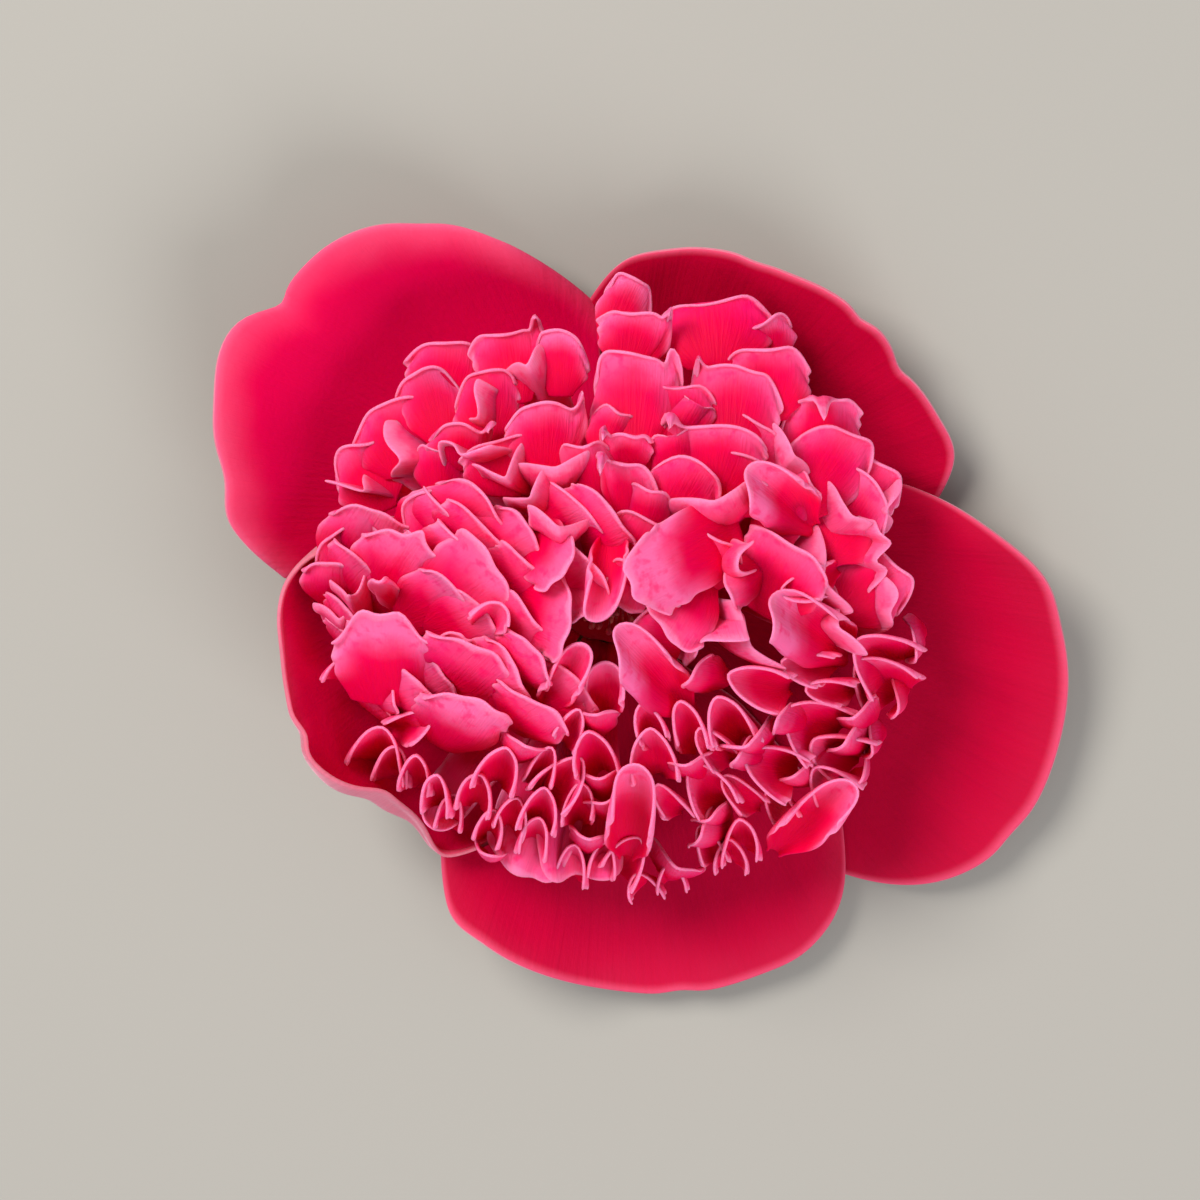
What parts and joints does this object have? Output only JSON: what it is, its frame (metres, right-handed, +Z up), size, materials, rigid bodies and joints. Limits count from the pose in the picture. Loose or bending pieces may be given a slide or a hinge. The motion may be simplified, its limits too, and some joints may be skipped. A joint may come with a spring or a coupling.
{
  "type": "anemone-form camellia flower",
  "caption": "Picked crimson camellia bloom: broad cupped guard petals round a dome of folded, pale-edged petaloids, lying face up on its calyx.",
  "frame": {"origin": "centre of the bottom of the flower's box, on the surface that it lies on", "axes": "+Z up out of the flower's face, +X towards the right guard petal, +Y towards the gap between the two upper guard petals"},
  "size_m": [0.0964, 0.0904, 0.0335],
  "materials": {
    "guard_petal": "velvety crimson petal, paler thin rim",
    "petaloid": "satin rose-crimson, pale lilac-pink margins",
    "sepal": "matt yellow-green, silky",
    "bract": "matt green with brown edge",
    "stalk": "matt green",
    "pistil": "waxy pale yellow-green",
    "stamen": "pale pink filaments, yellow anthers"
  },
  "bodies": {
    "root": {"receptacle_and_stalk": "stalk", "sepal_1": "sepal", "sepal_2": "sepal", "sepal_3": "sepal", "sepal_4": "sepal", "sepal_5": "sepal", "bract_1": "bract", "bract_2": "bract", "bract_3": "bract", "guard_petal_upper_left": "guard_petal", "guard_petal_upper_right": "guard_petal", "guard_petal_right": "guard_petal", "guard_petal_lower": "guard_petal", "guard_petal_raised_left": "guard_petal", "petaloids_01": "petaloid", "petaloids_02": "petaloid", "petaloids_03": "petaloid", "petaloids_04": "petaloid", "petaloids_05": "petaloid", "petaloids_06": "petaloid", "petaloids_07": "petaloid", "petaloids_08": "petaloid", "petaloids_09": "petaloid", "petaloids_10": "petaloid", "petaloids_11": "petaloid", "petaloids_12": "petaloid", "petaloids_13": "petaloid", "petaloids_14": "petaloid", "petaloids_15": "petaloid", "petaloids_16": "petaloid", "petaloids_17": "petaloid", "petaloids_18": "petaloid", "petaloids_19": "petaloid", "petaloids_20": "petaloid", "petaloids_21": "petaloid", "petaloids_22": "petaloid", "petaloids_23": "petaloid", "petaloids_24": "petaloid", "petaloids_25": "petaloid", "petaloids_26": "petaloid", "petaloids_27": "petaloid", "petaloids_28": "petaloid", "petaloids_29": "petaloid", "petaloids_30": "petaloid", "petaloids_31": "petaloid", "petaloids_32": "petaloid", "petaloids_33": "petaloid", "petaloids_34": "petaloid", "petaloids_35": "petaloid", "petaloids_36": "petaloid", "petaloids_37": "petaloid", "petaloids_38": "petaloid", "petaloids_39": "petaloid", "petaloids_40": "petaloid", "petaloids_41": "petaloid", "petaloids_42": "petaloid", "petaloids_43": "petaloid", "petaloids_44": "petaloid", "pistil": "pistil", "stamens": "stamen"}
  },
  "joints": []
}
